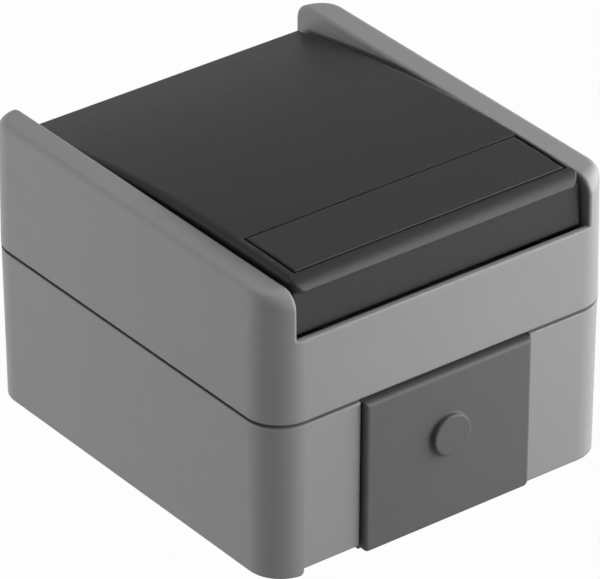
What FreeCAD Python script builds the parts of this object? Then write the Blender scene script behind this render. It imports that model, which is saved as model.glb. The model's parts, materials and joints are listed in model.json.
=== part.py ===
import FreeCAD, Part
import math
import os

# Surface-mounted splash-proof rocker switch, in millimetres.
# The origin is the centre of the wall face. +Z points out of the wall, the cable entry is towards -Y.
# The rocker is stored in its switched position, with the label end up.

# Housing outline
housing_width = 75.0
housing_depth = 84.4
corner_radius = 7.0
wall = 2.2
floor_thickness = 2.5
base_height = 30.45
base_taper = 0.35
rim_setback = 0.05
seam_gap = 0.7
gasket_inset = 0.9

# Cover
frame_height = 47.0
cheek_height = 56.3
cheek_thickness = 5.8
cheek_taper = 0.25
cheek_edge_radius = 1.2
cheek_end_radius = 3.6
cheek_inner_radius = 0.5
cheek_skin = 1.9
cheek_core_end = 8.0
cheek_roof = 3.2
frame_wall = 1.45
frame_edge_radius = 0.3
deck_top = 39.0
deck_thickness = 2.0

# Rocker
rocker_tilt = 4.5
side_gap = 0.8
end_gap = 0.75
crown_radius = 330.0
rocker_skin = 1.8
rocker_top_skin = 2.6
rocker_boss = 3.5
side_radius = 1.4
side_overhang = 0.15
lip_overhang = 0.9
lip_run = 2.2
lip_drop = 5.2
lip_bulge = 0.33
lip_corner_radius = 2.4
skirt_clearance = 1.9
label_depth = 14.2
label_side_margin = 1.7
label_groove = 0.48
label_edge_radius = 0.3
label_thickness = 1.4
label_rim = 0.05
label_proud = 0.1
label_seat_gap = 0.05

# Cable entry plate
entry_width = 36.3
entry_lap = 2.1
entry_proud = 1.25
entry_foot = 0.05
entry_edge_radius = 0.65
entry_corner_radius = 1.0
entry_rebate_gap = 0.38
entry_rebate_depth = 0.8
entry_clearance = 0.05
entry_top_gap = 0.2
entry_inner_flange = 1.5
entry_boss_radius = 4.0
entry_boss_height = 1.35
entry_boss_edge = 0.35
entry_boss_level = 17.9
entry_bore_radius = 3.4
entry_membrane = 1.0

# Wall fixing slots and the drain notch under the front wall
slot_pitch = 60.0
slot_width = 4.5
slot_length = 8.0
drain_height = 1.3
drain_depth = 1.6
drain_foot = 7.0
drain_edge = 0.8

# Switch insert
pad_height = 2.5
pad_size = 8.0
insert_half_y = 18.0
insert_height = 17.0
insert_flange = 4.0
contact_bay_half_x = 3.2
contact_bay_half_y = 10.6
contact_bay_depth = 5.0
pocket_half_width = 4.5
pocket_depth = 6.5
common_pocket_depth = 8.5
cap_plate = 4.0
cap_half_x = 12.0
cap_bay_height = 2.5
cap_lug = 6.0
cap_lug_height = 2.0
turret_half_y = 10.0
turret_wall = 2.5
turret_rise = 2.0
turret_gap = 0.4
turret_seal_width = 2.6
turret_seal_height = 1.2

# Rocker bearing, yoke and plunger
pivot_height = 47.6
ear_radius = 3.4
ear_gap = 0.6
trunnion_radius = 2.0
running_clearance = 0.05
yoke_side_gap = 0.3
yoke_half_y = 6.5
yoke_drop = 3.0
yoke_plate = 2.0
yoke_plate_half_x = 16.0
yoke_plate_half_y = 9.0
clip_thickness = 1.5
clip_half_y = 6.0
clip_nose = 1.2
clip_play = 0.1
sleeve_radius = 4.2
sleeve_length = 17.6
plunger_radius = 2.5
plunger_guide = 6.0
plunger_tip_radius = 1.2
plunger_tip_length = 1.6
plunger_gap = 0.12
spring_radius = 1.9
spring_wire_radius = 0.3
spring_turns = 6
bore_roof = 1.6

# Contacts and terminals
contact_throw = 8.0
contact_half_x = 2.5
contact_arm = 9.5
contact_thickness = 1.0
contact_hub_half = 3.2
contact_hub_height = 2.6
contact_foot = 2.2
contact_arm_level = 0.4
knife_radius = 1.0
tip_radius = 1.4
tip_height = 0.6
tip_reach = 7.8
tip_gap = 0.1
strip_thickness = 0.8
strip_half_width = 2.4
strip_clearance = 0.1
clamp_size = 6.0
clamp_thickness = 1.0
terminal_screw_radius = 1.5
terminal_screw_length = 6.0

# Screws
thread_clearance = 0.05
screw_slot_width = 0.8
screw_slot_depth = 0.7
terminal_head_radius = 2.7
terminal_head_height = 2.0
cover_screw_radius = 1.75
cover_head_radius = 3.2
cover_head_height = 2.0
cover_screw_bite = 14.0
pillar_radius = 3.8
pillar_gap = 1.7
screw_side_gap = 3.0
pillar_offset_y = 14.0
screw_seal_thickness = 0.8
small_screw_radius = 1.2
small_head_radius = 2.2
small_head_height = 1.6
small_screw_bite = 10.0
fixing_screw_radius = 1.5
fixing_head_radius = 2.8
fixing_screw_floor = 1.0
fixing_inset = 4.0

# Earth terminal
earth_length = 8.0
earth_depth = 6.0
earth_height = 7.0
earth_seat = 1.5
earth_wall_gap = 4.5
earth_back_gap = 10.5
earth_wire_radius = 1.6
earth_wire_level = 2.6
earth_screw_radius = 1.4
earth_screw_pitch = 4.0
earth_screw_proud = 1.0

# How far a cutter runs past what it cuts, and how near an edge must lie to the place where it is looked for
cut_margin = 1.0
edge_tolerance = 0.01

V = FreeCAD.Vector
X_AXIS = V(1, 0, 0)
Y_AXIS = V(0, 1, 0)
Z_AXIS = V(0, 0, 1)

# Levels and half sizes that follow from the values above
half_width = housing_width / 2
half_depth = housing_depth / 2
base_half_x = half_width - rim_setback
base_half_y = half_depth - rim_setback
base_inner_x = base_half_x - base_taper - wall
base_inner_y = base_half_y - base_taper - wall
inner_radius = corner_radius - wall
cover_bottom = base_height + seam_gap
deck_bottom = deck_top - deck_thickness
channel_half_x = half_width - cheek_thickness
channel_half_y = half_depth - frame_wall
skirt_half_x = channel_half_x - side_gap
skirt_half_y = channel_half_y - end_gap
rocker_half_x = skirt_half_x + side_overhang
rocker_half_y = skirt_half_y + lip_overhang
rocker_travel = skirt_half_y * math.sin(math.radians(rocker_tilt))
yoke_plate_bottom = pivot_height + ear_radius + ear_gap
seat_level = yoke_plate_bottom + yoke_plate
crown_height = seat_level + rocker_boss
lip_bottom = crown_height - lip_drop
skirt_bottom = deck_top + rocker_travel + skirt_clearance
crease_y = rocker_half_y - lip_run
label_half_x = rocker_half_x - label_side_margin
label_front = crease_y - label_rim
label_back = label_front - label_depth
pillar_x = channel_half_x - cover_head_radius - screw_side_gap
pillar_places = [(-pillar_x, -pillar_offset_y), (pillar_x, pillar_offset_y)]
insert_half_x = pillar_x - pillar_radius - pillar_gap
insert_bottom = floor_thickness + pad_height
insert_top = insert_bottom + insert_height
bay_floor = insert_top - contact_bay_depth
strip_top = bay_floor + strip_thickness
cap_plate_top = insert_top + cap_plate
turret_top = deck_top + turret_rise
turret_inner_x = cap_half_x - turret_wall
turret_inner_y = turret_half_y - turret_wall
swing = math.radians(contact_throw)
tip_far = tip_reach + tip_radius
fixed_tip_top = strip_top + tip_height
tip_face = contact_arm_level - tip_height
contact_axis = fixed_tip_top + tip_gap + tip_far * math.sin(swing) - tip_face * math.cos(swing)
plunger_tip_level = contact_axis + contact_hub_height + plunger_gap
sleeve_bottom = pivot_height - sleeve_length
plunger_top = sleeve_bottom + plunger_guide
bore_top = pivot_height - bore_roof
bore_radius = plunger_radius + running_clearance
fixing_x = insert_half_x - fixing_inset
fixing_y = insert_half_y - fixing_inset
fixing_places = [(-fixing_x, -fixing_y), (fixing_x, fixing_y)]
lug_x = cap_half_x + cap_lug / 2
lug_y = pocket_half_width + cap_lug / 2
cap_screw_places = [(-lug_x, lug_y), (lug_x, -lug_y)]
terminal_reach_y = insert_half_y - pocket_depth / 2
terminal_reach_x = insert_half_x - common_pocket_depth / 2
mouth_half = entry_width / 2 - entry_lap
mouth_bottom = floor_thickness + entry_lap
rebate_half = entry_width / 2 + entry_rebate_gap
rebate_y = base_half_y - base_taper - entry_rebate_depth
earth_x = -(base_inner_x - earth_wall_gap - earth_length / 2)
earth_y = base_inner_y - earth_back_gap - earth_depth / 2
earth_bottom = floor_thickness + earth_seat
earth_top = earth_bottom + earth_height


def box(x0, x1, y0, y1, z0, z1):
    """A box between two corners."""
    return Part.makeBox(x1 - x0, y1 - y0, z1 - z0, V(x0, y0, z0))


def block(half_x, half_y, z0, z1):
    """A box centred on the Z axis."""
    return box(-half_x, half_x, -half_y, half_y, z0, z1)


def rod(radius, x, y, z0, z1):
    """An upright cylinder."""
    return Part.makeCylinder(radius, z1 - z0, V(x, y, z0), Z_AXIS)


def cross_rod(radius, half_x, y, z):
    """A cylinder along X, centred on X = 0."""
    return Part.makeCylinder(radius, 2 * half_x, V(-half_x, y, z), X_AXIS)


def rounded_outline(half_x, half_y, radius, z):
    """A rectangle with round corners, as a closed wire."""
    ix = half_x - radius
    iy = half_y - radius
    arcs = []
    for quarter, (cx, cy) in enumerate([(ix, iy), (-ix, iy), (-ix, -iy), (ix, -iy)]):
        circle = Part.Circle(V(cx, cy, z), Z_AXIS, radius)
        start = math.radians(90 * quarter)
        arcs.append(Part.Arc(circle, start, start + math.pi / 2).toShape())
    edges = []
    for arc, following in zip(arcs, arcs[1:] + arcs[:1]):
        edges.append(arc)
        arc_end = arc.valueAt(arc.LastParameter)
        edges.append(Part.makeLine(arc_end, following.valueAt(following.FirstParameter)))
    return Part.Wire(edges)


def rounded_block(half_x, half_y, radius, z0, z1):
    """An upright prism with round corners."""
    return Part.Face(rounded_outline(half_x, half_y, radius, z0)).extrude(V(0, 0, z1 - z0))


def tapered_block(half_x, half_y, radius, z_wide, z_narrow, taper):
    """A round-cornered block that narrows by the taper on each side towards z_narrow."""
    wide = rounded_outline(half_x, half_y, radius, z_wide)
    narrow = rounded_outline(half_x - taper, half_y - taper, radius - taper, z_narrow)
    return Part.makeLoft([wide, narrow], True, True)


def profile_prism(edges, half_x):
    """A profile in the YZ plane, drawn at X = 0 and carried to both sides."""
    face = Part.Face(Part.Wire(edges))
    face.translate(V(-half_x, 0, 0))
    return face.extrude(V(2 * half_x, 0, 0))


def line(start, end):
    """A straight edge between two (y, z) points."""
    return Part.makeLine(V(0, start[0], start[1]), V(0, end[0], end[1]))


def arc(start, middle, end):
    """A round edge through three (y, z) points."""
    return Part.Arc(V(0, *start), V(0, *middle), V(0, *end)).toShape()


def polygon_edges(points):
    """The closed ring of straight edges through the given (y, z) points."""
    return [line(a, b) for a, b in zip(points, points[1:] + points[:1])]


def rounded(shape, radius, wanted):
    """The shape with every edge that the test accepts rounded."""
    return shape.makeFillet(radius, [edge for edge in shape.Edges if wanted(edge)])


def with_rocker(shape):
    """The shape turned with the rocker, from level to its stored position."""
    return shape.rotated(V(0, 0, pivot_height), X_AXIS, -rocker_tilt)


def crown_level(y, below=0.0):
    """Height of the crowned top of the level rocker, or of a surface that far below it."""
    return crown_height - below - crown_radius + math.sqrt(crown_radius ** 2 - y ** 2)


def screw(x, y, seat, radius, length, head_radius, head_height):
    """A slotted pan-head screw with its head on the seat."""
    body = rod(radius, x, y, seat - length, seat)
    head = rod(head_radius, x, y, seat, seat + head_height)
    slot = box(x - head_radius, x + head_radius, y - screw_slot_width / 2, y + screw_slot_width / 2,
               seat + head_height - screw_slot_depth, seat + head_height)
    return body.fuse(head).removeSplitter().cut(slot)


def make_base_box():
    outer = tapered_block(base_half_x, base_half_y, corner_radius, base_height, 0.0, base_taper)
    inner = rounded_block(base_inner_x, base_inner_y, inner_radius, floor_thickness, base_height)
    body = outer.cut(inner)

    # Pillars for the cover screws, pads for the insert and the seat of the earth terminal
    for x, y in pillar_places:
        body = body.fuse(rod(pillar_radius, x, y, floor_thickness, deck_bottom))
    for sign_x in (-1, 1):
        for sign_y in (-1, 1):
            pad = block(pad_size / 2, pad_size / 2, floor_thickness, insert_bottom)
            pad.translate(V(sign_x * fixing_x, sign_y * fixing_y, 0))
            body = body.fuse(pad)
    seat = block(earth_length / 2, earth_depth / 2, floor_thickness, earth_bottom)
    seat.translate(V(earth_x, earth_y, 0))
    body = body.fuse(seat)

    # Screw holes
    for x, y in pillar_places:
        hole_bottom = deck_bottom - cover_screw_bite
        body = body.cut(rod(cover_screw_radius + thread_clearance, x, y, hole_bottom, deck_bottom))
    for x, y in fixing_places:
        body = body.cut(rod(fixing_screw_radius + thread_clearance, x, y, fixing_screw_floor, insert_bottom))

    # Fixing slots through the back wall
    for sign in (-1, 1):
        body = body.cut(fixing_slot(sign * slot_pitch / 2))

    # Mouth and rebate for the entry plate, and the drain notch beside it
    body = body.cut(box(-mouth_half, mouth_half, -half_depth, -base_inner_y, mouth_bottom, base_height))
    body = body.cut(box(-rebate_half, rebate_half, -half_depth, -rebate_y, 0.0, base_height))
    drain_start = drain_foot - base_half_x
    drain_back = drain_depth - base_half_y + base_taper
    body = body.cut(box(drain_start, -entry_width / 2, -half_depth, drain_back, 0.0, drain_height))
    body = body.removeSplitter()

    def is_foot_edge(edge):
        bounds = edge.BoundBox
        upright_plane = bounds.XLength < edge_tolerance and abs(bounds.XMin - drain_start) < edge_tolerance
        return upright_plane and bounds.ZMax < edge_tolerance

    return rounded(body, drain_edge, is_foot_edge)


def fixing_slot(y):
    """What is cut away for one wall screw: a slot along Y with round ends."""
    straight = (slot_length - slot_width) / 2
    slot = box(-slot_width / 2, slot_width / 2, y - straight, y + straight, 0.0, floor_thickness)
    for end in (y - straight, y + straight):
        slot = slot.fuse(rod(slot_width / 2, 0, end, 0.0, floor_thickness))
    return slot.removeSplitter()


def make_cover_frame():
    blank = tapered_block(half_width, half_depth, corner_radius, cover_bottom, cheek_height, cheek_taper)
    inside = rounded_block(half_width - wall, half_depth - wall, inner_radius, cover_bottom, deck_bottom)
    body = with_round_rim(blank).cut(inside)

    # Rocker channel, with the front and back walls lower than the cheeks
    above = cheek_height + cut_margin
    body = body.cut(block(channel_half_x, channel_half_y, deck_top, above))
    body = body.cut(block(channel_half_x, housing_depth, frame_height, above))
    body = rounded(body, cheek_inner_radius, is_cheek_inner_edge)
    outer_y = half_depth - cheek_taper * (frame_height - cover_bottom) / (cheek_height - cover_bottom)
    for sign in (-1, 1):
        for y, inward in ((sign * outer_y, -sign), (sign * channel_half_y, sign)):
            body = body.cut(edge_waste(y, inward, frame_height, frame_edge_radius, channel_half_x))

    # Cheeks cored out from below
    core_near = channel_half_x + cheek_skin
    core_far = half_width - wall
    core_half_y = half_depth - cheek_core_end
    core_top = cheek_height - cheek_roof
    for x0, x1 in ((core_near, core_far), (-core_far, -core_near)):
        body = body.cut(box(x0, x1, -core_half_y, core_half_y, deck_bottom, core_top))

    # Way through the deck for the insert's turret and the cover screws
    body = body.cut(block(cap_half_x + turret_gap, turret_half_y + turret_gap, deck_bottom, deck_top))
    for x, y in pillar_places:
        body = body.cut(rod(cover_screw_radius + thread_clearance, x, y, deck_bottom, deck_top))
    return body.removeSplitter()


def with_round_rim(blank):
    """The cover's blank with its upper rim rounded, slightly along the sides and more at the ends."""
    def radius_at(corner):
        beside = abs(corner.X) > half_width - corner_radius + edge_tolerance
        return cheek_edge_radius if beside else cheek_end_radius

    document = FreeCAD.newDocument("rim")
    base = document.addObject("Part::Feature", "blank")
    base.Shape = blank
    fillet = document.addObject("Part::Fillet", "fillet")
    fillet.Base = base
    fillet.Edges = [(number, radius_at(edge.Vertexes[0]), radius_at(edge.Vertexes[-1]))
                    for number, edge in enumerate(blank.Edges, 1)
                    if edge.BoundBox.ZMin > cheek_height - edge_tolerance]
    document.recompute()
    shape = fillet.Shape.copy()
    FreeCAD.closeDocument(document.Name)
    return shape


def is_cheek_inner_edge(edge):
    """True on the upper rim of a cheek's inner face, from the front wall over the top to the back wall."""
    bounds = edge.BoundBox
    beside_channel = abs(abs(bounds.Center.x) - channel_half_x) < edge_tolerance
    on_plane = beside_channel and bounds.XLength < edge_tolerance
    return on_plane and bounds.Center.z > frame_height + edge_tolerance


def edge_waste(y, inward, top, radius, half_x):
    """What is cut away to round an upper edge that runs along X, with the material lying inward of it."""
    rounding = radius * (1 - math.sqrt(0.5))
    near = y + inward * radius
    far = y - inward * cut_margin
    above = top + cut_margin
    start = top - radius
    edges = [
        arc((y, start), (y + inward * rounding, top - rounding), (near, top)),
        line((near, top), (near, above)),
        line((near, above), (far, above)),
        line((far, above), (far, start)),
        line((far, start), (y, start)),
    ]
    return profile_prism(edges, half_x)


def make_housing_gasket():
    outer_x = base_half_x - gasket_inset
    outer_y = base_half_y - gasket_inset
    inner_x = half_width - wall
    inner_y = half_depth - wall
    ring = rounded_block(outer_x, outer_y, corner_radius - gasket_inset, base_height, cover_bottom)
    return ring.cut(rounded_block(inner_x, inner_y, inner_radius, base_height, cover_bottom))


def make_cable_entry_plate():
    plate_half = entry_width / 2
    top = base_height - entry_top_gap
    clear = entry_clearance

    def wall_face(z):
        """Y of the tapered front wall at a height, with a little clearance."""
        return -(base_half_y - base_taper * (1 - z / base_height)) - clear

    front = wall_face(base_height) - entry_proud
    foot_face = wall_face(entry_foot) - entry_proud
    seat = -rebate_y - clear
    outline = [(seat, entry_foot), (seat, top), (front, top), (foot_face, entry_foot)]
    flange = profile_prism(polygon_edges(outline), plate_half)

    def is_lower_corner(edge):
        bounds = edge.BoundBox
        return bounds.XLength + bounds.ZLength < edge_tolerance and bounds.ZMax < entry_boss_level

    flange = rounded(flange, entry_corner_radius, is_lower_corner)
    flange = rounded(flange, entry_edge_radius, lambda edge: edge.BoundBox.YMax < foot_face + edge_tolerance)

    # Blind boss, where the cable is led through
    boss = Part.makeCylinder(entry_boss_radius, entry_boss_height + entry_proud / 2,
                             V(0, foot_face + entry_proud / 2, entry_boss_level), -Y_AXIS)
    boss_front = foot_face - entry_boss_height
    boss = rounded(boss, entry_boss_edge, lambda edge: edge.BoundBox.YMax < boss_front + edge_tolerance)

    # Web through the wall's mouth and the flange behind the wall
    web_half = mouth_half - clear
    web = box(-web_half, web_half, seat, -base_inner_y + clear, mouth_bottom + clear, top)
    back_face = -base_inner_y + clear + entry_inner_flange
    back = box(-plate_half, plate_half, -base_inner_y + clear, back_face, floor_thickness + clear, top)
    plate = flange.fuse([boss, web, back])
    bore_end = boss_front + entry_membrane
    bore_start = V(0, bore_end, entry_boss_level)
    bore = Part.makeCylinder(entry_bore_radius, back_face - bore_end, bore_start, Y_AXIS)
    return plate.cut(bore).removeSplitter()


def rocker_cap():
    """Outer form of the level rocker above its skirt: crowned top, curved lips and round side edges."""
    lip_top = crown_level(crease_y)
    mid_y = (rocker_half_y + crease_y) / 2
    mid_z = (lip_bottom + lip_top) / 2
    chord = math.hypot(lip_run, lip_top - lip_bottom)
    bulge_y = mid_y + lip_bulge * (lip_top - lip_bottom) / chord
    bulge_z = mid_z + lip_bulge * lip_run / chord
    above = crown_height + cut_margin
    edges = [
        arc((-rocker_half_y, lip_bottom), (-bulge_y, bulge_z), (-crease_y, lip_top)),
        line((-crease_y, lip_top), (-crease_y, above)),
        line((-crease_y, above), (crease_y, above)),
        line((crease_y, above), (crease_y, lip_top)),
        arc((crease_y, lip_top), (bulge_y, bulge_z), (rocker_half_y, lip_bottom)),
        line((rocker_half_y, lip_bottom), (-rocker_half_y, lip_bottom)),
    ]
    cap = crowned_band().common(profile_prism(edges, rocker_half_x + cut_margin))
    return cap.common(rounded_block(rocker_half_x, rocker_half_y, lip_corner_radius, lip_bottom, above))


def crowned_band():
    """A round-shouldered strip as wide as the rocker, bent along the crown."""
    straight = rocker_half_x - side_radius
    shoulder = crown_height - side_radius
    low = lip_bottom - cut_margin
    diagonal = side_radius * math.sqrt(0.5)
    right = Part.Arc(V(straight, 0, crown_height), V(straight + diagonal, 0, shoulder + diagonal),
                     V(rocker_half_x, 0, shoulder)).toShape()
    left = Part.Arc(V(-rocker_half_x, 0, shoulder), V(-straight - diagonal, 0, shoulder + diagonal),
                    V(-straight, 0, crown_height)).toShape()
    edges = [
        left,
        Part.makeLine(V(-straight, 0, crown_height), V(straight, 0, crown_height)),
        right,
        Part.makeLine(V(rocker_half_x, 0, shoulder), V(rocker_half_x, 0, low)),
        Part.makeLine(V(rocker_half_x, 0, low), V(-rocker_half_x, 0, low)),
        Part.makeLine(V(-rocker_half_x, 0, low), V(-rocker_half_x, 0, shoulder)),
    ]
    crown_centre = V(0, 0, crown_height - crown_radius)
    half_angle = math.degrees(math.asin((rocker_half_y + cut_margin) / crown_radius))
    section = Part.Face(Part.Wire(edges)).rotated(crown_centre, X_AXIS, -half_angle)
    return section.revolve(crown_centre, X_AXIS, 2 * half_angle)


def under_crown(y0, y1, z_low, below, half_x):
    """A prism from a flat bottom up to a surface that far below the crowned top."""
    middle = (y0 + y1) / 2
    edges = [
        line((y0, z_low), (y1, z_low)),
        line((y1, z_low), (y1, crown_level(y1, below))),
        arc((y1, crown_level(y1, below)), (middle, crown_level(middle, below)), (y0, crown_level(y0, below))),
        line((y0, crown_level(y0, below)), (y0, z_low)),
    ]
    return profile_prism(edges, half_x)


def label_space(y0, y1, half_x, depth):
    """What lies above a surface that deep under the crown, between two places along the rocker."""
    full = box(-half_x, half_x, y0, y1, lip_bottom, crown_height)
    below = under_crown(y0 - cut_margin, y1 + cut_margin, lip_bottom - cut_margin, depth,
                        half_x + cut_margin)
    return full.cut(below)


def make_rocker():
    body = rocker_cap().fuse(block(skirt_half_x, skirt_half_y, skirt_bottom, lip_bottom))
    inner_x = skirt_half_x - rocker_skin
    inner_y = skirt_half_y - rocker_skin
    body = body.cut(under_crown(-inner_y, inner_y, skirt_bottom, rocker_top_skin, inner_x))

    # Seat for the yoke, with two snap clips that hold it
    body = body.fuse(block(yoke_plate_half_x, yoke_plate_half_y, seat_level, seat_level + rocker_boss / 2))
    clip_near = yoke_plate_half_x + clip_play
    nose_top = yoke_plate_bottom - clip_play
    for sign in (-1, 1):
        stem = block(clip_thickness / 2, clip_half_y, nose_top - clip_nose, seat_level + rocker_boss / 2)
        stem.translate(V(sign * (clip_near + clip_thickness / 2), 0, 0))
        nose = block(clip_nose / 2, clip_half_y, nose_top - clip_nose, nose_top)
        nose.translate(V(sign * (clip_near - clip_nose / 2), 0, 0))
        body = body.fuse([stem, nose])
    pocket = label_space(-label_front, -label_back, label_half_x + label_groove / 2, label_thickness)
    return with_rocker(body.cut(pocket).removeSplitter())


def make_label_insert():
    space = label_space(-label_front + label_groove, -label_back - label_groove,
                        label_half_x - label_groove / 2, label_thickness - label_seat_gap)
    label = rocker_cap().common(space)

    def is_upper_edge(edge):
        bounds = edge.BoundBox
        upright = bounds.XLength + bounds.YLength < label_thickness
        return not upright and abs(bounds.ZMax - crown_level(bounds.YMax)) < edge_tolerance

    label = rounded(label, label_edge_radius, is_upper_edge)
    label.translate(V(0, 0, label_proud))
    return with_rocker(label)


def make_rocker_yoke():
    plate = block(yoke_plate_half_x, yoke_plate_half_y, yoke_plate_bottom, seat_level)
    hub_half = turret_inner_x - yoke_side_gap
    hub = block(hub_half, yoke_half_y, pivot_height - yoke_drop, yoke_plate_bottom)
    trunnions = cross_rod(trunnion_radius, cap_half_x - yoke_side_gap, 0, pivot_height)
    sleeve = rod(sleeve_radius, 0, 0, sleeve_bottom, pivot_height - yoke_drop)
    body = plate.fuse([hub, trunnions, sleeve]).removeSplitter()
    return with_rocker(body.cut(rod(bore_radius, 0, 0, sleeve_bottom, bore_top)))


def make_plunger():
    tip_centre = plunger_tip_level + plunger_tip_radius
    shoulder = tip_centre + plunger_tip_length
    shaft = rod(plunger_radius, 0, 0, shoulder, plunger_top)
    neck = rod(plunger_tip_radius, 0, 0, tip_centre, shoulder)
    ball = Part.makeSphere(plunger_tip_radius, V(0, 0, tip_centre))
    return with_rocker(shaft.fuse([neck, ball]).removeSplitter())


def make_plunger_spring():
    low = plunger_top + spring_wire_radius + running_clearance
    high = bore_top - spring_wire_radius - running_clearance
    helix = Part.makeHelix((high - low) / spring_turns, high - low, spring_radius)
    ring = Part.Wire(Part.makeCircle(spring_wire_radius, V(spring_radius, 0, 0), Y_AXIS))
    coil = Part.Wire(helix.Edges).makePipeShell([ring], True, True)
    coil.translate(V(0, 0, low))
    return with_rocker(coil)


def make_switch_base():
    body = block(insert_half_x, insert_half_y, insert_bottom, insert_top)
    body = body.cut(block(contact_bay_half_x, contact_bay_half_y, bay_floor, insert_top))

    # Terminal pockets, open at the top and outwards, with the strips' channels
    channel = strip_half_width + strip_clearance
    body = body.cut(block(channel, insert_half_y - pocket_depth, bay_floor, insert_top))
    common_near = insert_half_x - common_pocket_depth
    body = body.cut(box(0, common_near, -channel, channel, bay_floor, insert_top))
    for sign in (-1, 1):
        pocket = block(pocket_half_width, pocket_depth / 2, bay_floor, insert_top)
        pocket.translate(V(0, sign * (insert_half_y - pocket_depth / 2), 0))
        body = body.cut(pocket)
    body = body.cut(box(common_near, insert_half_x, -pocket_half_width, pocket_half_width,
                        bay_floor, insert_top))
    for x, y in terminal_places():
        low = strip_top + clamp_thickness - terminal_screw_length - terminal_screw_radius
        body = body.cut(rod(terminal_screw_radius + strip_clearance, x, y, low, bay_floor))

    # Flanges for the fixing screws and holes for the cap screws
    flange_top = insert_bottom + insert_flange
    reach = fixing_inset * 2
    for x, y in fixing_places:
        notch = block(reach / 2, reach / 2, flange_top, insert_top)
        notch.translate(V(x, y, 0))
        body = body.cut(notch)
        body = body.cut(rod(fixing_screw_radius + thread_clearance, x, y, insert_bottom, flange_top))
    for x, y in cap_screw_places:
        low = insert_top + cap_lug_height - small_screw_bite - small_screw_radius
        body = body.cut(rod(small_screw_radius + thread_clearance, x, y, low, insert_top))
    return body.removeSplitter()


def make_switch_cap():
    cap_half_y = insert_half_y - pocket_depth
    plate = block(cap_half_x, cap_half_y, insert_top, cap_plate_top)
    tube = block(cap_half_x, turret_half_y, insert_top, turret_top)
    body = plate.fuse(tube)
    for x, y in cap_screw_places:
        lug = block(cap_lug / 2, cap_lug / 2, insert_top, insert_top + cap_lug_height)
        lug.translate(V(x, y, 0))
        body = body.fuse(lug)
    for sign in (-1, 1):
        ear = block(turret_wall / 2, ear_radius, turret_top, pivot_height)
        ear.translate(V(sign * (cap_half_x - turret_wall / 2), 0, 0))
        body = body.fuse(ear)
    body = body.fuse(cross_rod(ear_radius, cap_half_x, 0, pivot_height))
    body = body.cut(block(turret_inner_x, turret_inner_y, cap_plate_top, pivot_height + ear_radius))
    body = body.cut(cross_rod(trunnion_radius + running_clearance, cap_half_x, 0, pivot_height))

    # Room for the contact rocker and the way in for the plunger
    body = body.cut(block(contact_bay_half_x, contact_bay_half_y, insert_top, insert_top + cap_bay_height))
    swing_room = sleeve_radius + (pivot_height - insert_top) * math.sin(math.radians(rocker_tilt))
    body = body.cut(block(sleeve_radius, swing_room, insert_top, cap_plate_top))
    lug_top = insert_top + cap_lug_height
    for x, y in cap_screw_places:
        body = body.cut(rod(small_screw_radius + thread_clearance, x, y, insert_top, lug_top))
    return body.removeSplitter()


def make_cap_screws():
    seat = insert_top + cap_lug_height
    return Part.makeCompound([screw(x, y, seat, small_screw_radius, small_screw_bite, small_head_radius,
                                    small_head_height) for x, y in cap_screw_places])


def make_mechanism_screws():
    seat = insert_bottom + insert_flange
    length = seat - fixing_screw_floor - fixing_screw_radius
    return Part.makeCompound([screw(x, y, seat, fixing_screw_radius, length, fixing_head_radius,
                                    small_head_height) for x, y in fixing_places])


def make_turret_seal():
    outer = block(cap_half_x + turret_seal_width, turret_half_y + turret_seal_width,
                  deck_top, deck_top + turret_seal_height)
    return outer.cut(block(cap_half_x + thread_clearance, turret_half_y + thread_clearance,
                           deck_top, deck_top + turret_seal_height))


def make_cover_screws():
    seat = deck_top + screw_seal_thickness
    length = screw_seal_thickness + deck_thickness + cover_screw_bite - cover_screw_radius
    return Part.makeCompound([screw(x, y, seat, cover_screw_radius, length, cover_head_radius,
                                    cover_head_height) for x, y in pillar_places])


def make_cover_screw_seals():
    seals = []
    for x, y in pillar_places:
        ring = rod(cover_head_radius, x, y, deck_top, deck_top + screw_seal_thickness)
        hole = rod(cover_screw_radius + thread_clearance, x, y, deck_top, deck_top + screw_seal_thickness)
        seals.append(ring.cut(hole))
    return Part.makeCompound(seals)


def make_contact_rocker():
    arm_top = contact_arm_level + contact_thickness
    groove = knife_radius + running_clearance
    points_right = [(groove, 0), (contact_foot, 0), (contact_foot, contact_arm_level),
                    (contact_arm, contact_arm_level), (contact_arm, arm_top), (contact_hub_half, arm_top),
                    (contact_hub_half, contact_hub_height)]
    points_left = [(-y, z) for y, z in reversed(points_right)]
    outline = points_right + points_left
    edges = [line(a, b) for a, b in zip(outline, outline[1:])]
    edges.append(arc((-groove, 0), (0, groove), (groove, 0)))
    body = profile_prism(edges, contact_half_x)
    return with_contact(body)


def with_contact(shape):
    """The shape moved from the contact rocker's own axis to its place, thrown towards the entry end."""
    return shape.rotated(V(0, 0, 0), X_AXIS, contact_throw).translated(V(0, 0, contact_axis))


def make_moving_contact_tips():
    tips = []
    for y in (-tip_reach, tip_reach):
        tips.append(with_contact(rod(tip_radius, 0, y, tip_face, contact_arm_level)))
    return Part.makeCompound(tips)


def make_fixed_contact_tips():
    return Part.makeCompound([rod(tip_radius, 0, y, strip_top, fixed_tip_top)
                              for y in (-tip_reach, tip_reach)])


def terminal_places():
    """Places of the three terminal screws: entry end, far end and common."""
    return [(0, -terminal_reach_y), (0, terminal_reach_y), (terminal_reach_x, 0)]


def make_end_contact(sign):
    """Brass strip from under a contact tip out to the terminal pocket on that side."""
    near = tip_reach - tip_radius - strip_clearance
    far = insert_half_y - strip_clearance
    strip = block(strip_half_width, (far - near) / 2, bay_floor, strip_top)
    strip.translate(V(0, sign * (near + far) / 2, 0))
    hole = rod(terminal_screw_radius + thread_clearance, 0, sign * terminal_reach_y, bay_floor, strip_top)
    return strip.cut(hole)


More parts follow.
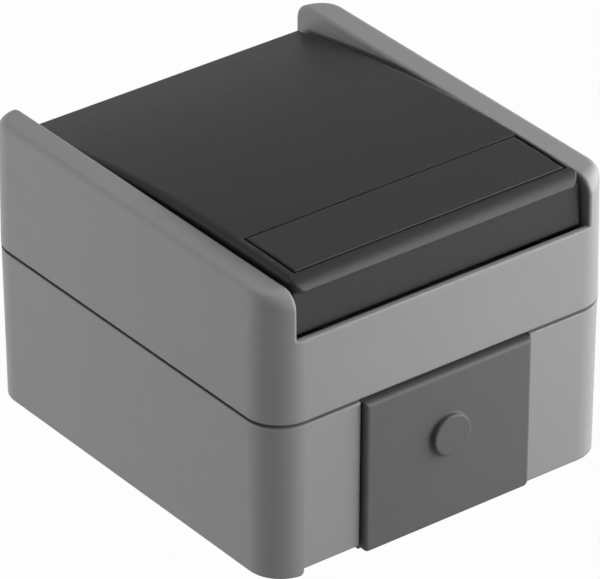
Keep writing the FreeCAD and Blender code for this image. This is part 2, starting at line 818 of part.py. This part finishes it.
def make_common_terminal():
    far = insert_half_x - strip_clearance
    strip = box(-contact_half_x, far, -strip_half_width, strip_half_width, bay_floor, strip_top)
    post = block(contact_half_x, knife_radius, strip_top, contact_axis)
    body = strip.fuse([post, cross_rod(knife_radius, contact_half_x, 0, contact_axis)])
    hole = rod(terminal_screw_radius + thread_clearance, terminal_reach_x, 0, bay_floor, strip_top)
    return body.cut(hole).removeSplitter()


def make_terminal_clamps():
    clamps = []
    for x, y in terminal_places():
        plate = block(clamp_size / 2, clamp_size / 2, strip_top, strip_top + clamp_thickness)
        plate.translate(V(x, y, 0))
        hole = rod(terminal_screw_radius + thread_clearance, x, y, strip_top, strip_top + clamp_thickness)
        clamps.append(plate.cut(hole))
    return Part.makeCompound(clamps)


def make_terminal_screws():
    seat = strip_top + clamp_thickness
    places = terminal_places()
    return Part.makeCompound([screw(x, y, seat, terminal_screw_radius, terminal_screw_length,
                                    terminal_head_radius, terminal_head_height) for x, y in places])


def earth_screw_places():
    """Places of the two screws along the earth terminal."""
    return [(earth_x + sign * earth_screw_pitch / 2, earth_y) for sign in (-1, 1)]


def make_earth_terminal():
    body = block(earth_length / 2, earth_depth / 2, earth_bottom, earth_top)
    body.translate(V(earth_x, earth_y, 0))
    level = earth_bottom + earth_wire_level
    for x, y in earth_screw_places():
        wire_start = V(x, y - earth_depth / 2, level)
        body = body.cut(Part.makeCylinder(earth_wire_radius, earth_depth, wire_start, Y_AXIS))
        body = body.cut(rod(earth_screw_radius + thread_clearance, x, y, level, earth_top))
    return body.removeSplitter()


def make_earth_screws():
    screws = []
    top = earth_top + earth_screw_proud
    for x, y in earth_screw_places():
        body = rod(earth_screw_radius, x, y, earth_bottom + earth_wire_level + earth_wire_radius, top)
        slot = box(x - earth_screw_radius, x + earth_screw_radius, y - screw_slot_width / 2,
                   y + screw_slot_width / 2, top - screw_slot_depth, top)
        screws.append(body.cut(slot))
    return Part.makeCompound(screws)


nodes = {
    "base_box": make_base_box(),
    "cover_frame": make_cover_frame(),
    "housing_gasket": make_housing_gasket(),
    "cable_entry_plate": make_cable_entry_plate(),
    "rocker": make_rocker(),
    "label_insert": make_label_insert(),
    "rocker_yoke": make_rocker_yoke(),
    "plunger": make_plunger(),
    "plunger_spring": make_plunger_spring(),
    "switch_base": make_switch_base(),
    "switch_cap": make_switch_cap(),
    "cap_screws": make_cap_screws(),
    "mechanism_screws": make_mechanism_screws(),
    "turret_seal": make_turret_seal(),
    "cover_screws": make_cover_screws(),
    "cover_screw_seals": make_cover_screw_seals(),
    "contact_rocker": make_contact_rocker(),
    "moving_contact_tips": make_moving_contact_tips(),
    "fixed_contact_tips": make_fixed_contact_tips(),
    "front_contact": make_end_contact(-1),
    "back_contact": make_end_contact(1),
    "common_terminal": make_common_terminal(),
    "terminal_clamps": make_terminal_clamps(),
    "terminal_screws": make_terminal_screws(),
    "earth_terminal": make_earth_terminal(),
    "earth_screws": make_earth_screws(),
}

os.makedirs("parts", exist_ok=True)
for name, shape in nodes.items():
    shape.exportStep("parts/" + name + ".step")
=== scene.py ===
import bpy
import json
import math
from bpy.props import FloatProperty, FloatVectorProperty, PointerProperty
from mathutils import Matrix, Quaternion, Vector

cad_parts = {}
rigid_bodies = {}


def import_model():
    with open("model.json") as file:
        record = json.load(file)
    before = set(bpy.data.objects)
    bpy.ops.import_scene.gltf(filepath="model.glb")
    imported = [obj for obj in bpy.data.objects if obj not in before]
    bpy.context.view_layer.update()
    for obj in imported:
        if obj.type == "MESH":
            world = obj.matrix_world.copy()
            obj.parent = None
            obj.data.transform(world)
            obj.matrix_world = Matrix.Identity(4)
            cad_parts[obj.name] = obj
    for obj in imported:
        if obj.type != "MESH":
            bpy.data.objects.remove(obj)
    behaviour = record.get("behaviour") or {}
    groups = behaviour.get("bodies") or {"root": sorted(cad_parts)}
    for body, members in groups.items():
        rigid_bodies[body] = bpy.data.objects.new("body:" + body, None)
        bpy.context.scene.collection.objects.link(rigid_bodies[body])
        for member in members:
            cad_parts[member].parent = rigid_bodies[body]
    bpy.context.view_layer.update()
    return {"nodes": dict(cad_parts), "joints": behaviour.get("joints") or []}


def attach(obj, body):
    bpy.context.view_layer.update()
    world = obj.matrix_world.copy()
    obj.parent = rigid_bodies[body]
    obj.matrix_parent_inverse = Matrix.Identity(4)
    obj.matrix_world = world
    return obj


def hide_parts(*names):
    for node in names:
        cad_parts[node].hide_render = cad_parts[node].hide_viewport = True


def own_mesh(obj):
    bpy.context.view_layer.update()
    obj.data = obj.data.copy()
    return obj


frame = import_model()

# Marks in the moulded plastic, in metres and as shares
CLOUD_SIZE = 0.012
CLOUD_SPREAD = 0.012
CLOUD_DETAIL = 3.0
PATCH_SIZE = 0.004
PATCH_SPREAD = 0.025
PATCH_DETAIL = 4.0
# Edges: a softened normal, slightly polished edges, and a painted highlight that lightens their colour
EDGE_RADIUS = 0.0005
EDGE_POLISH = 0.08
EDGE_SAMPLES = 6
EDGE_START = 0.99
EDGE_FULL = 0.8
GRAIN_DETAIL = 2.0
GRAIN_STRENGTH = 0.25
GRAIN_HEIGHT = 0.00003

# Skin of the rubber seals
RUBBER_CLOUD_SIZE = 0.006
RUBBER_CLOUD_SPREAD = 0.08
RUBBER_PATCH_SIZE = 0.002
RUBBER_PATCH_SPREAD = 0.06
RUBBER_GRAIN = 0.00018
RUBBER_GRAIN_STRENGTH = 0.3
RUBBER_GRAIN_HEIGHT = 0.00004
RUBBER_DETAIL = 3.0
RUBBER_GLOSS = 0.35

# Marks on the bare metal
METAL_MARK_SIZE = 0.0003
METAL_MARK_SPREAD = 0.09
METAL_MARK_STRENGTH = 0.2
METAL_MARK_HEIGHT = 0.00003
TARNISH_SIZE = 0.003
TARNISH_DARK = 0.88
TARNISH_LIGHT = 1.06
METAL_DETAIL = 4.0
STAMPED_MARKS = (1.0, 0.12, 1.0)
TURNED_MARKS = (1.0, 1.0, 0.3)
PLAIN_MARKS = (1.0, 1.0, 1.0)

# Range in which most of a noise's values lie
NOISE_LOW = 0.3
NOISE_HIGH = 0.7

# Studio: the world's brightness in reflections, the softboxes, the floor and the camera's sensor
WHITE = (1.0, 1.0, 1.0, 1.0)
HORIZON_GLOW = 1.0
SKY_GLOW = 0.42
HORIZON_HEIGHT = 0.0
SKY_HEIGHT = 0.1
LAMP_TARGET = Vector((0.0, 0.0, 0.03))
LEFT_LAMP = {"direction": (-0.8, 0.5, 0.02), "distance": 0.4, "width": 0.6, "height": 0.08}
RIGHT_LAMP = {"direction": (0.8, -0.6, 0.24), "distance": 0.3, "width": 0.5, "height": 0.24}
TOP_LAMP = {"direction": (0.0, 0.2, 1.0), "distance": 1.0, "width": 0.8, "height": 0.8}
FLOOR_SIZE = 6.0
FLOOR_ROUGHNESS = 0.9
SENSOR_WIDTH = 36.0
CLIP_START = 0.05
CLIP_END = 50.0

bl_info = {
    "name": "Splash-proof rocker switch",
    "version": (1, 0, 0),
    "blender": (4, 5, 0),
    "location": "View3D > Sidebar > Switch",
    "description": "Dresses a surface-mounted rocker switch and sets it on a studio floor",
    "category": "Object",
}


def colour_setting(name, description, default):
    """A colour that the user can change."""
    return FloatVectorProperty(name=name, description=description, default=default, subtype="COLOR",
                               size=3, min=0.0, max=1.0)


def length_setting(name, description, default):
    """A length in metres that the user can change."""
    return FloatProperty(name=name, description=description, default=default, unit="LENGTH", precision=6)


def factor_setting(name, description, default):
    """A share between 0 and 1 that the user can change."""
    return FloatProperty(name=name, description=description, default=default, min=0.0, max=1.0,
                         subtype="FACTOR")


class SwitchHousingSettings(bpy.types.PropertyGroup):
    """Finish of the grey box, its cover and the cable entry plate."""
    colour: colour_setting("Housing", "Colour of the box and its cover", (0.325, 0.325, 0.325))
    plate_colour: colour_setting("Entry plate", "Colour of the cable entry plate", (0.11, 0.11, 0.11))
    seal_colour: colour_setting("Seals", "Colour of the rubber seals", (0.02, 0.02, 0.02))
    roughness: factor_setting("Roughness", "Roughness of the moulded grey", 0.43)
    plate_roughness: factor_setting("Plate roughness", "Roughness of the entry plate", 0.55)
    seal_roughness: factor_setting("Seal roughness", "Roughness of the rubber seals", 0.8)
    gloss: factor_setting("Gloss", "Strength of the grey plastic's reflections", 0.4)
    # Paler edges: part wear, part painted highlight along the edges
    edge_wear_and_highlight: factor_setting("Edge wear", "How much paler the edges are", 0.1)
    grain: length_setting("Grain", "Size of the moulded grain", 0.00025)


class SwitchRockerSettings(bpy.types.PropertyGroup):
    """Finish of the dark rocker and its label strip."""
    colour: colour_setting("Rocker", "Colour of the rocker", (0.024, 0.024, 0.024))
    label_colour: colour_setting("Label", "Colour of the label strip", (0.028, 0.028, 0.028))
    roughness: factor_setting("Roughness", "Roughness of the rocker", 0.36)
    gloss: factor_setting("Gloss", "Strength of the dark plastic's reflections", 0.32)
    # Paler edges: part wear, part painted highlight along the edges
    edge_wear_and_highlight: factor_setting("Edge wear", "How much paler the edges are", 0.15)
    grain: length_setting("Grain", "Size of the moulded grain", 0.0002)


class SwitchInsideSettings(bpy.types.PropertyGroup):
    """Finish of the mechanism inside the box."""
    plastic_colour: colour_setting("Insert", "Colour of the moulded insert", (0.75, 0.74, 0.7))
    brass_colour: colour_setting("Brass", "Colour of the strips and terminals", (0.72, 0.53, 0.22))
    steel_colour: colour_setting("Steel", "Colour of the screws and the spring", (0.6, 0.61, 0.62))
    silver_colour: colour_setting("Contact tips", "Colour of the contact tips", (0.86, 0.85, 0.82))
    plastic_roughness: factor_setting("Insert roughness", "Roughness of the moulded insert", 0.4)
    plastic_gloss: factor_setting("Insert gloss", "Strength of the insert's reflections", 0.5)
    # Paler edges: part wear, part painted highlight along the insert's edges
    plastic_wear_and_highlight: factor_setting("Insert wear", "How much paler the insert's edges are", 0.03)
    plastic_grain: length_setting("Insert grain", "Size of the insert's grain", 0.0003)
    brass_roughness: factor_setting("Brass roughness", "Roughness of the strips and terminals", 0.32)
    steel_roughness: factor_setting("Steel roughness", "Roughness of the screws and the spring", 0.34)
    silver_roughness: factor_setting("Tip roughness", "Roughness of the contact tips", 0.22)


class SwitchStudioSettings(bpy.types.PropertyGroup):
    """Camera, floor and lamps."""
    azimuth: FloatProperty(name="Azimuth", description="Where the camera stands round the switch",
                           default=math.radians(-37.27), subtype="ANGLE", unit="ROTATION")
    elevation: FloatProperty(name="Elevation", description="Height of the camera above the horizon",
                             default=math.radians(30.549), subtype="ANGLE", unit="ROTATION")
    roll: FloatProperty(name="Roll", description="Turn of the camera about its own axis",
                        default=math.radians(-0.131), subtype="ANGLE", unit="ROTATION")
    distance: length_setting("Distance", "From the camera to the aim point", 1.1)
    aim: FloatVectorProperty(name="Aim", description="Point that the camera looks at", subtype="TRANSLATION",
                             size=3, precision=6, default=(0.00737, 0.008866, 0.019517))
    lens: FloatProperty(name="Lens", description="Focal length on a 36 mm wide sensor", default=369.13)
    left_power: FloatProperty(name="Left lamp", description="Power of the left softbox", default=0.88,
                              subtype="POWER")
    right_power: FloatProperty(name="Right lamp", description="Power of the right softbox", default=1.74,
                               subtype="POWER")
    top_power: FloatProperty(name="Top lamp", description="Power of the softbox overhead", default=3.2,
                             subtype="POWER")
    ambient: FloatProperty(name="Ambient", description="Light from all round", default=0.15)
    floor_colour: colour_setting("Floor", "Colour of the floor as it lights the switch", (0.05, 0.05, 0.05))
    floor_glow: factor_setting("Floor glow", "How far the floor looks plain white", 0.98)


class NodeDesk:
    """Adds and links the nodes of one material."""

    def __init__(self, name):
        self.material = bpy.data.materials.new(name)
        self.material.use_nodes = True
        self.tree = self.material.node_tree
        self.shader = self.tree.nodes["Principled BSDF"]

    def add(self, kind, **values):
        node = self.tree.nodes.new(kind)
        for key, value in values.items():
            setattr(node, key, value)
        return node

    def link(self, source, target):
        self.tree.links.new(source, target)

    def object_coordinates(self):
        return self.add("ShaderNodeTexCoord").outputs["Object"]

    def noise(self, coordinates, size, detail):
        """A noise whose features are about that size in metres."""
        node = self.add("ShaderNodeTexNoise")
        node.inputs["Scale"].default_value = 1.0 / size
        node.inputs["Detail"].default_value = detail
        self.link(coordinates, node.inputs["Vector"])
        return node.outputs["Fac"]

    def spread(self, value, low, high):
        """The value's middle range, mapped between two limits."""
        node = self.add("ShaderNodeMapRange")
        node.inputs["From Min"].default_value = NOISE_LOW
        node.inputs["From Max"].default_value = NOISE_HIGH
        node.inputs["To Min"].default_value = low
        node.inputs["To Max"].default_value = high
        self.link(value, node.inputs["Value"])
        return node.outputs["Result"]

    def tinted(self, colour, factor):
        """The colour, made lighter or darker by a factor that varies over the surface."""
        node = self.add("ShaderNodeVectorMath", operation="SCALE")
        node.inputs[0].default_value = colour
        self.link(factor, node.inputs["Scale"])
        return node.outputs["Vector"]

    def edges(self, radius):
        """A mask, 1 on edges sharper than the radius and 0 on flat faces, and the softened normal."""
        rounded = self.add("ShaderNodeBevel", samples=EDGE_SAMPLES)
        rounded.inputs["Radius"].default_value = radius
        plain = self.add("ShaderNodeNewGeometry")
        dot = self.add("ShaderNodeVectorMath", operation="DOT_PRODUCT")
        self.link(rounded.outputs["Normal"], dot.inputs[0])
        self.link(plain.outputs["Normal"], dot.inputs[1])
        ramp = self.add("ShaderNodeMapRange")
        ramp.inputs["From Min"].default_value = EDGE_START
        ramp.inputs["From Max"].default_value = EDGE_FULL
        self.link(dot.outputs["Value"], ramp.inputs["Value"])
        return ramp.outputs["Result"], rounded.outputs["Normal"]

    def add_values(self, first, second, weight):
        """first + weight times second."""
        node = self.add("ShaderNodeMath", operation="MULTIPLY_ADD")
        node.inputs[1].default_value = weight
        self.link(second, node.inputs[0])
        self.link(first, node.inputs[2])
        return node.outputs["Value"]

    def bump(self, height, strength, distance, normal=None):
        node = self.add("ShaderNodeBump")
        node.inputs["Strength"].default_value = strength
        node.inputs["Distance"].default_value = distance
        self.link(height, node.inputs["Height"])
        if normal is not None:
            self.link(normal, node.inputs["Normal"])
        return node.outputs["Normal"]


def moulded_plastic(name, colour, roughness, grain, wear_and_highlight, specular):
    """Moulded plastic: fine grain, cloudy shade, faintly polished edges, and paler edges that are part wear
    and part painted highlight.
    """
    desk = NodeDesk(name)
    place = desk.object_coordinates()
    cloud = desk.spread(desk.noise(place, CLOUD_SIZE, CLOUD_DETAIL), 1.0 - CLOUD_SPREAD, 1.0 + CLOUD_SPREAD)
    fine = desk.noise(place, grain, GRAIN_DETAIL)
    edge, soft_normal = desk.edges(EDGE_RADIUS)
    # Painted highlight: the edge mask lightens the base colour along every edge, part wear and part highlight
    tone_and_edge_highlight = desk.add_values(cloud, edge, wear_and_highlight)
    desk.link(desk.tinted(colour, tone_and_edge_highlight), desk.shader.inputs["Base Color"])
    patches = desk.spread(desk.noise(place, PATCH_SIZE, PATCH_DETAIL), roughness - PATCH_SPREAD,
                          roughness + PATCH_SPREAD)
    desk.link(desk.add_values(patches, edge, -EDGE_POLISH), desk.shader.inputs["Roughness"])
    desk.link(desk.bump(fine, GRAIN_STRENGTH, GRAIN_HEIGHT, soft_normal), desk.shader.inputs["Normal"])
    desk.shader.inputs["Specular IOR Level"].default_value = specular
    return desk.material


def soft_rubber(name, colour, roughness):
    """Matt rubber with a fine skin."""
    desk = NodeDesk(name)
    place = desk.object_coordinates()
    cloud = desk.spread(desk.noise(place, RUBBER_CLOUD_SIZE, RUBBER_DETAIL), 1.0 - RUBBER_CLOUD_SPREAD,
                        1.0 + RUBBER_CLOUD_SPREAD)
    desk.link(desk.tinted(colour, cloud), desk.shader.inputs["Base Color"])
    patches = desk.spread(desk.noise(place, RUBBER_PATCH_SIZE, RUBBER_DETAIL),
                          roughness - RUBBER_PATCH_SPREAD, roughness + RUBBER_PATCH_SPREAD)
    desk.link(patches, desk.shader.inputs["Roughness"])
    fine = desk.noise(place, RUBBER_GRAIN, RUBBER_DETAIL)
    desk.link(desk.bump(fine, RUBBER_GRAIN_STRENGTH, RUBBER_GRAIN_HEIGHT), desk.shader.inputs["Normal"])
    desk.shader.inputs["Specular IOR Level"].default_value = RUBBER_GLOSS
    return desk.material


def worked_metal(name, colour, roughness, stretch):
    """Bare metal with drawn or turned marks, slightly tarnished."""
    desk = NodeDesk(name)
    place = desk.object_coordinates()
    mapping = desk.add("ShaderNodeMapping")
    mapping.inputs["Scale"].default_value = stretch
    desk.link(place, mapping.inputs["Vector"])
    marks = desk.noise(mapping.outputs["Vector"], METAL_MARK_SIZE, METAL_DETAIL)
    tarnish = desk.spread(desk.noise(place, TARNISH_SIZE, METAL_DETAIL), TARNISH_DARK, TARNISH_LIGHT)
    desk.link(desk.tinted(colour, tarnish), desk.shader.inputs["Base Color"])
    desk.link(desk.spread(marks, roughness - METAL_MARK_SPREAD, roughness + METAL_MARK_SPREAD),
              desk.shader.inputs["Roughness"])
    desk.link(desk.bump(marks, METAL_MARK_STRENGTH, METAL_MARK_HEIGHT), desk.shader.inputs["Normal"])
    desk.shader.inputs["Metallic"].default_value = 1.0
    return desk.material


def dress(material, *names):
    """Gives CAD nodes a material on every slot."""
    for name in names:
        node = frame["nodes"][name]
        if not node.material_slots:
            raise RuntimeError(name + " has no material slot")
        for slot in node.material_slots:
            slot.material = material


class SWITCH_OT_housing(bpy.types.Operator):
    """Finish the box and its cover"""
    bl_idname = "switch.housing"
    bl_label = "Box and cover"

    def execute(self, context):
        settings = context.scene.switch_housing
        grey = moulded_plastic("housing_grey_plastic", settings.colour, settings.roughness, settings.grain,
                               settings.edge_wear_and_highlight, settings.gloss)
        dress(grey, "base_box", "cover_frame")
        return {"FINISHED"}


class SWITCH_OT_entry_plate(bpy.types.Operator):
    """Finish the cable entry plate"""
    bl_idname = "switch.entry_plate"
    bl_label = "Cable entry plate"

    def execute(self, context):
        settings = context.scene.switch_housing
        plate = moulded_plastic("entry_plate_plastic", settings.plate_colour, settings.plate_roughness,
                                settings.grain, settings.edge_wear_and_highlight, settings.gloss)
        dress(plate, "cable_entry_plate")
        return {"FINISHED"}


class SWITCH_OT_seals(bpy.types.Operator):
    """Finish the rubber seals"""
    bl_idname = "switch.seals"
    bl_label = "Seals"

    def execute(self, context):
        settings = context.scene.switch_housing
        black = soft_rubber("seal_rubber", settings.seal_colour, settings.seal_roughness)
        dress(black, "housing_gasket", "turret_seal", "cover_screw_seals")
        return {"FINISHED"}


class SWITCH_OT_rocker(bpy.types.Operator):
    """Finish the rocker and its label strip"""
    bl_idname = "switch.rocker"
    bl_label = "Rocker and label"

    def execute(self, context):
        settings = context.scene.switch_rocker
        dark = moulded_plastic("rocker_plastic", settings.colour, settings.roughness, settings.grain,
                               settings.edge_wear_and_highlight, settings.gloss)
        strip = moulded_plastic("label_plastic", settings.label_colour, settings.roughness, settings.grain,
                                settings.edge_wear_and_highlight, settings.gloss)
        dress(dark, "rocker")
        dress(strip, "label_insert")
        return {"FINISHED"}


class SWITCH_OT_insert(bpy.types.Operator):
    """Finish the moulded pieces of the switch insert"""
    bl_idname = "switch.insert"
    bl_label = "Switch insert"

    def execute(self, context):
        settings = context.scene.switch_inside
        white = moulded_plastic("insert_plastic", settings.plastic_colour, settings.plastic_roughness,
                                settings.plastic_grain, settings.plastic_wear_and_highlight, settings.plastic_gloss)
        dress(white, "switch_base", "switch_cap", "rocker_yoke", "plunger")
        return {"FINISHED"}


class SWITCH_OT_metalwork(bpy.types.Operator):
    """Finish the contacts, terminals, screws and spring"""
    bl_idname = "switch.metalwork"
    bl_label = "Contacts and screws"

    def execute(self, context):
        settings = context.scene.switch_inside
        brass = worked_metal("terminal_brass", settings.brass_colour, settings.brass_roughness, STAMPED_MARKS)
        steel = worked_metal("screw_steel", settings.steel_colour, settings.steel_roughness, TURNED_MARKS)
        silver = worked_metal("contact_silver", settings.silver_colour, settings.silver_roughness,
                              PLAIN_MARKS)
        dress(brass, "contact_rocker", "front_contact", "back_contact", "common_terminal", "terminal_clamps",
              "earth_terminal")
        dress(steel, "terminal_screws", "earth_screws", "cap_screws", "mechanism_screws", "cover_screws",
              "plunger_spring")
        dress(silver, "moving_contact_tips", "fixed_contact_tips")
        return {"FINISHED"}


class SWITCH_OT_spring(bpy.types.Operator):
    """Put a copy of the spring's coil on the slide's parent body, in place of the node"""
    bl_idname = "switch.spring"
    bl_label = "Plunger spring"

    def execute(self, context):
        slide = next(joint for joint in frame["joints"] if joint["name"] == "plunger_slide")

        # A copy of the node's coil, whose upper end stays on its seat in the yoke
        coil = bpy.data.objects.new("plunger_coil", frame["nodes"]["plunger_spring"].data.copy())
        context.scene.collection.objects.link(coil)
        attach(coil, slide["parent"])
        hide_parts("plunger_spring")
        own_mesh(coil)
        return {"FINISHED"}


def seen_directly(tree):
    """1 for what the camera sees straight, in a reflection or through glass, and 0 for light that spreads."""
    path = tree.nodes.new("ShaderNodeLightPath")
    total = path.outputs["Is Camera Ray"]
    for ray in ("Is Glossy Ray", "Is Transmission Ray"):
        larger = tree.nodes.new("ShaderNodeMath")
        larger.operation = "MAXIMUM"
        tree.links.new(total, larger.inputs[0])
        tree.links.new(path.outputs[ray], larger.inputs[1])
        total = larger.outputs["Value"]
    return total


def light_world(scene, ambient):
    """A studio that is white at the horizon, dims overhead and gives a little light from all round."""
    world = bpy.data.worlds.new("studio")
    scene.world = world
    world.use_nodes = True
    tree = world.node_tree
    direction = tree.nodes.new("ShaderNodeTexCoord")
    parts = tree.nodes.new("ShaderNodeSeparateXYZ")
    tree.links.new(direction.outputs["Generated"], parts.inputs["Vector"])
    fall = tree.nodes.new("ShaderNodeMapRange")
    fall.inputs["From Min"].default_value = HORIZON_HEIGHT
    fall.inputs["From Max"].default_value = SKY_HEIGHT
    fall.inputs["To Min"].default_value = HORIZON_GLOW
    fall.inputs["To Max"].default_value = SKY_GLOW
    tree.links.new(parts.outputs["Z"], fall.inputs["Value"])
    strength = tree.nodes.new("ShaderNodeMix")
    strength.inputs["A"].default_value = ambient
    tree.links.new(seen_directly(tree), strength.inputs["Factor"])
    tree.links.new(fall.outputs["Result"], strength.inputs["B"])
    background = tree.nodes["Background"]
    background.inputs["Color"].default_value = WHITE
    tree.links.new(strength.outputs["Result"], background.inputs["Strength"])


def add_softbox(name, power, direction, distance, width, height):
    """A rectangular lamp that faces the middle of the switch."""
    data = bpy.data.lights.new(name, "AREA")
    data.shape = "RECTANGLE"
    data.size = width
    data.size_y = height
    data.energy = power
    lamp = bpy.data.objects.new(name, data)
    away = Vector(direction).normalized()
    lamp.location = LAMP_TARGET + away * distance
    lamp.rotation_mode = "QUATERNION"
    lamp.rotation_quaternion = (-away).to_track_quat("-Z", "Y")
    bpy.context.scene.collection.objects.link(lamp)
    return lamp


def add_floor(settings):
    """A floor that is white to the camera apart from the switch's soft shadow."""
    bpy.ops.object.select_all(action="DESELECT")
    bpy.ops.mesh.primitive_plane_add(size=FLOOR_SIZE)
    floor = bpy.context.object
    floor.name = "studio_floor"
    desk = NodeDesk("floor_paper")
    desk.shader.inputs["Base Color"].default_value = (*settings.floor_colour, 1.0)
    desk.shader.inputs["Roughness"].default_value = FLOOR_ROUGHNESS
    glow = desk.add("ShaderNodeEmission")
    blend = desk.add("ShaderNodeMixShader")
    share = desk.add("ShaderNodeMath", operation="MULTIPLY")
    share.inputs[1].default_value = settings.floor_glow
    desk.link(seen_directly(desk.tree), share.inputs[0])
    desk.link(share.outputs["Value"], blend.inputs["Fac"])
    desk.link(desk.shader.outputs["BSDF"], blend.inputs[1])
    desk.link(glow.outputs["Emission"], blend.inputs[2])
    desk.link(blend.outputs["Shader"], desk.tree.nodes["Material Output"].inputs["Surface"])
    floor.data.materials.append(desk.material)


def add_camera(scene, settings):
    """A camera at the photograph's place."""
    data = bpy.data.cameras.new("camera")
    data.sensor_width = SENSOR_WIDTH
    data.lens = settings.lens
    data.clip_start = CLIP_START
    data.clip_end = CLIP_END
    camera = bpy.data.objects.new("camera", data)
    scene.collection.objects.link(camera)
    away = Vector((math.sin(settings.azimuth) * math.cos(settings.elevation),
                   -math.cos(settings.azimuth) * math.cos(settings.elevation),
                   math.sin(settings.elevation)))
    camera.location = Vector(settings.aim) + away * settings.distance
    camera.rotation_mode = "QUATERNION"
    level = (-away).to_track_quat("-Z", "Y")
    camera.rotation_quaternion = level @ Quaternion((0.0, 0.0, 1.0), settings.roll)
    scene.camera = camera


class SWITCH_OT_stage(bpy.types.Operator):
    """Set the floor, the lamps and the camera"""
    bl_idname = "switch.stage"
    bl_label = "Studio"

    def execute(self, context):
        settings = context.scene.switch_studio
        scene = context.scene
        scene.view_settings.view_transform = "Standard"

        light_world(scene, settings.ambient)
        add_floor(settings)
        left = add_softbox("left_softbox", settings.left_power, **LEFT_LAMP)
        left.visible_glossy = False
        add_softbox("right_softbox", settings.right_power, **RIGHT_LAMP)
        add_softbox("top_softbox", settings.top_power, **TOP_LAMP)
        add_camera(scene, settings)
        return {"FINISHED"}


class SWITCH_PT_panel(bpy.types.Panel):
    """Lists the steps that dress the switch"""
    bl_idname = "SWITCH_PT_panel"
    bl_label = "Rocker switch"
    bl_space_type = "VIEW_3D"
    bl_region_type = "UI"
    bl_category = "Switch"

    def draw(self, context):
        for step in STEPS:
            self.layout.operator(step.bl_idname)


STEPS = (SWITCH_OT_housing, SWITCH_OT_entry_plate, SWITCH_OT_seals, SWITCH_OT_rocker, SWITCH_OT_insert,
         SWITCH_OT_metalwork, SWITCH_OT_spring, SWITCH_OT_stage)
SETTINGS = {
    "switch_housing": SwitchHousingSettings,
    "switch_rocker": SwitchRockerSettings,
    "switch_inside": SwitchInsideSettings,
    "switch_studio": SwitchStudioSettings,
}
CLASSES = tuple(SETTINGS.values()) + STEPS + (SWITCH_PT_panel,)


def register():
    for cls in CLASSES:
        bpy.utils.register_class(cls)
    for name, group in SETTINGS.items():
        setattr(bpy.types.Scene, name, PointerProperty(type=group))


def unregister():
    for name in SETTINGS:
        delattr(bpy.types.Scene, name)
    for cls in reversed(CLASSES):
        bpy.utils.unregister_class(cls)


def main():
    register()
    bpy.ops.switch.housing()
    bpy.ops.switch.entry_plate()
    bpy.ops.switch.seals()
    bpy.ops.switch.rocker()
    bpy.ops.switch.insert()
    bpy.ops.switch.metalwork()
    bpy.ops.switch.spring()
    bpy.ops.switch.stage()


if __name__ == "__main__":
    main()
